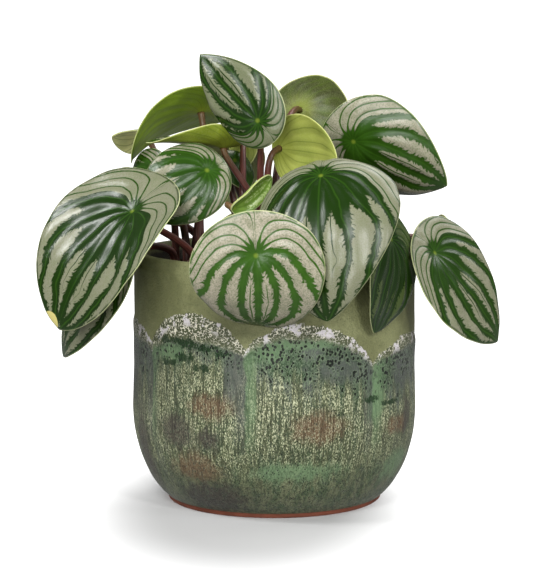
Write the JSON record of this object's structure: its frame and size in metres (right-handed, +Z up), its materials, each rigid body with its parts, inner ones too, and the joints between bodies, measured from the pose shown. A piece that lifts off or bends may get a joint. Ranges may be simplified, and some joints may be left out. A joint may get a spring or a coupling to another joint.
{
  "type": "potted watermelon peperomia",
  "caption": "Potted house plant with silver-striped shield-shaped leaves on red stalks, standing in a round glazed stoneware pot with a scalloped drip glaze.",
  "frame": {"origin": "centre of the pot's flat foot, on the surface it stands on", "axes": "+Z up, -Y towards the viewer in front, +X to the viewer's right"},
  "size_m": [0.2445, 0.2161, 0.2368],
  "materials": {
    "glaze": "sage glaze over darker pooled green drips, with a cream speckled band along scalloped tops",
    "soil": "dark peat with small bark pieces",
    "striped_blade": "silver between dark green veins, slightly waxy",
    "lime_blade": "pale lime to olive underside with faint veins",
    "petiole": "smooth reddish brown leaf stalk",
    "crown": "short brown stub"
  },
  "bodies": {
    "root": {"pot": "glaze", "soil": "soil", "blade_front_round": "striped_blade", "petiole_front_round": "petiole", "blade_front_drape": "striped_blade", "petiole_front_drape": "petiole", "blade_left_large": "striped_blade", "petiole_left_large": "petiole", "blade_left_under": "striped_blade", "petiole_left_under": "petiole", "blade_left_round": "striped_blade", "petiole_left_round": "petiole", "blade_top": "striped_blade", "petiole_top": "petiole", "blade_right_upper": "striped_blade", "petiole_right_upper": "petiole", "blade_lime_right": "lime_blade", "petiole_lime_right": "petiole", "blade_right_hanging": "striped_blade", "petiole_right_hanging": "petiole", "blade_right_shaded": "striped_blade", "petiole_right_shaded": "petiole", "blade_lime_rolled": "lime_blade", "petiole_lime_rolled": "petiole", "blade_olive_left": "lime_blade", "petiole_olive_left": "petiole", "blade_olive_right": "lime_blade", "petiole_olive_right": "petiole", "blade_far_left": "lime_blade", "petiole_far_left": "petiole", "blade_young_folded": "striped_blade", "petiole_young_folded": "petiole", "blade_small_inner": "striped_blade", "petiole_small_inner": "petiole", "blade_small_left": "striped_blade", "petiole_small_left": "petiole", "blade_lime_small": "lime_blade", "petiole_lime_small": "petiole", "blade_rear_left": "striped_blade", "petiole_rear_left": "petiole", "blade_rear_hanging": "striped_blade", "petiole_rear_hanging": "petiole", "blade_rear_right": "striped_blade", "petiole_rear_right": "petiole", "blade_rear_side": "striped_blade", "petiole_rear_side": "petiole", "blade_rear_upper": "striped_blade", "petiole_rear_upper": "petiole", "crown_left": "crown", "crown_middle": "crown", "crown_right": "crown"}
  },
  "joints": []
}
